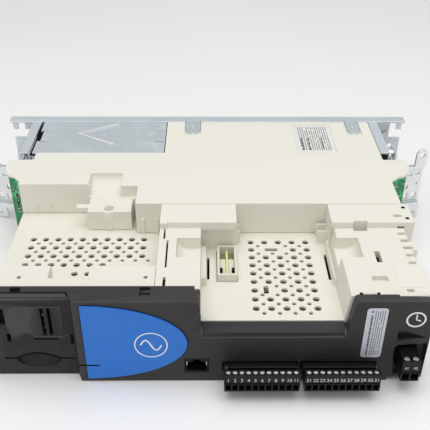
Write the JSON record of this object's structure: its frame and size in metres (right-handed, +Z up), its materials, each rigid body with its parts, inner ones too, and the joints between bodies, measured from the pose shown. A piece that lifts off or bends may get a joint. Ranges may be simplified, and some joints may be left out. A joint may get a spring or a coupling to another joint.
{
  "type": "servo drive",
  "caption": "Narrow book-format servo drive with metal mounting plate, ducted heatsink and fan, moulded covers, module bay, keypad bay and plug-in terminals.",
  "frame": {"origin": "middle of the bottom face of the box around the drive as it lies on its side with its plugs fitted", "axes": "+X along the drive's height towards its bottom end, +Y from the front bezel to the mounting plate, +Z up, across the drive's width"},
  "size_m": [0.3326, 0.2416, 0.062],
  "materials": {
    "zinc_sheet": "satin",
    "ivory_plastic": "matte",
    "black_plastic": "matte",
    "connector_plastic": "matte",
    "plug_plastic": "matte",
    "screw_steel": "satin",
    "extruded_aluminium": "satin",
    "resistor_aluminium": "satin",
    "brass": "satin",
    "rivet_aluminium": "satin",
    "fan_plastic": "matte",
    "guard_wire": "polished",
    "circuit_board": "satin",
    "module_white": "matte",
    "module_grey": "matte",
    "capacitor_sleeve": "gloss",
    "copper_winding": "gloss",
    "film_capacitor": "gloss",
    "relay_blue": "satin",
    "header_black": "matte",
    "chip_black": "matte",
    "blade_contacts": "satin",
    "badge_blue": "satin",
    "gold_contacts": "polished",
    "socket_shield": "polished",
    "lamp_lens": "gloss",
    "label_silver": "satin",
    "label_white": "satin",
    "screen_card": "matte"
  },
  "bodies": {
    "drive": {"mounting_plate": "zinc_sheet", "outlet_frame": "zinc_sheet", "inlet_frame": "zinc_sheet", "duct_skin": "zinc_sheet", "heatsink": "extruded_aluminium", "brake_resistor": "resistor_aluminium", "resistor_cover": "zinc_sheet", "cover_clip": "brass", "cover_rivets": "rivet_aluminium", "fan_frame": "fan_plastic", "fan_guard": "guard_wire", "power_board": "circuit_board", "igbt_module": "module_white", "rectifier_module": "module_grey", "bus_capacitors": "capacitor_sleeve", "filter_choke": "copper_winding", "filter_capacitors": "film_capacitor", "inrush_relay": "relay_blue", "board_link": "header_black", "board_spacers": "brass", "control_board": "circuit_board", "processor_chip": "chip_black", "splash_screen": "screen_card", "base_shell": "ivory_plastic", "rear_side_cover": "ivory_plastic", "cover_screw": "screw_steel", "top_front_cover": "ivory_plastic", "module_bay_cover": "ivory_plastic", "module_socket": "ivory_plastic", "module_blade": "blade_contacts", "front_bezel": "black_plastic", "badge_plate": "badge_blue", "keypad_panel": "black_plastic", "keypad_pins": "gold_contacts", "card_reader": "black_plastic", "network_socket": "socket_shield", "network_pins": "gold_contacts", "control_header_a": "connector_plastic", "control_header_b": "connector_plastic", "relay_header": "connector_plastic", "status_lamp": "lamp_lens", "front_label": "label_silver", "front_mark": "label_white", "rating_label": "label_white", "earth_bracket_top": "zinc_sheet", "earth_bracket_bottom": "zinc_sheet", "bracket_screws": "screw_steel", "supply_socket": "connector_plastic", "motor_socket": "connector_plastic", "encoder_socket": "socket_shield"},
    "fan_rotor": {"fan_rotor": "fan_plastic"},
    "control_plug_a": {"control_plug_a": "plug_plastic", "plug_a_screws": "screw_steel"},
    "control_plug_b": {"control_plug_b": "plug_plastic", "plug_b_screws": "screw_steel"},
    "relay_plug": {"relay_plug": "plug_plastic", "relay_screws": "screw_steel"}
  },
  "joints": [
    {"name": "fan_spin", "type": "hinge", "parent": "drive", "child": "fan_rotor", "pos_m": [0.119, 0.09025, 0.031], "axis": [1, 0, 0], "continuous": true},
    {"name": "control_plug_a_pull", "type": "slide", "parent": "drive", "child": "control_plug_a", "axis": [0, -1, 0], "range_m": [0, 0.012]},
    {"name": "control_plug_b_pull", "type": "slide", "parent": "drive", "child": "control_plug_b", "axis": [0, -1, 0], "range_m": [0, 0.012]},
    {"name": "relay_plug_pull", "type": "slide", "parent": "drive", "child": "relay_plug", "axis": [0, -1, 0], "range_m": [0, 0.012]}
  ]
}
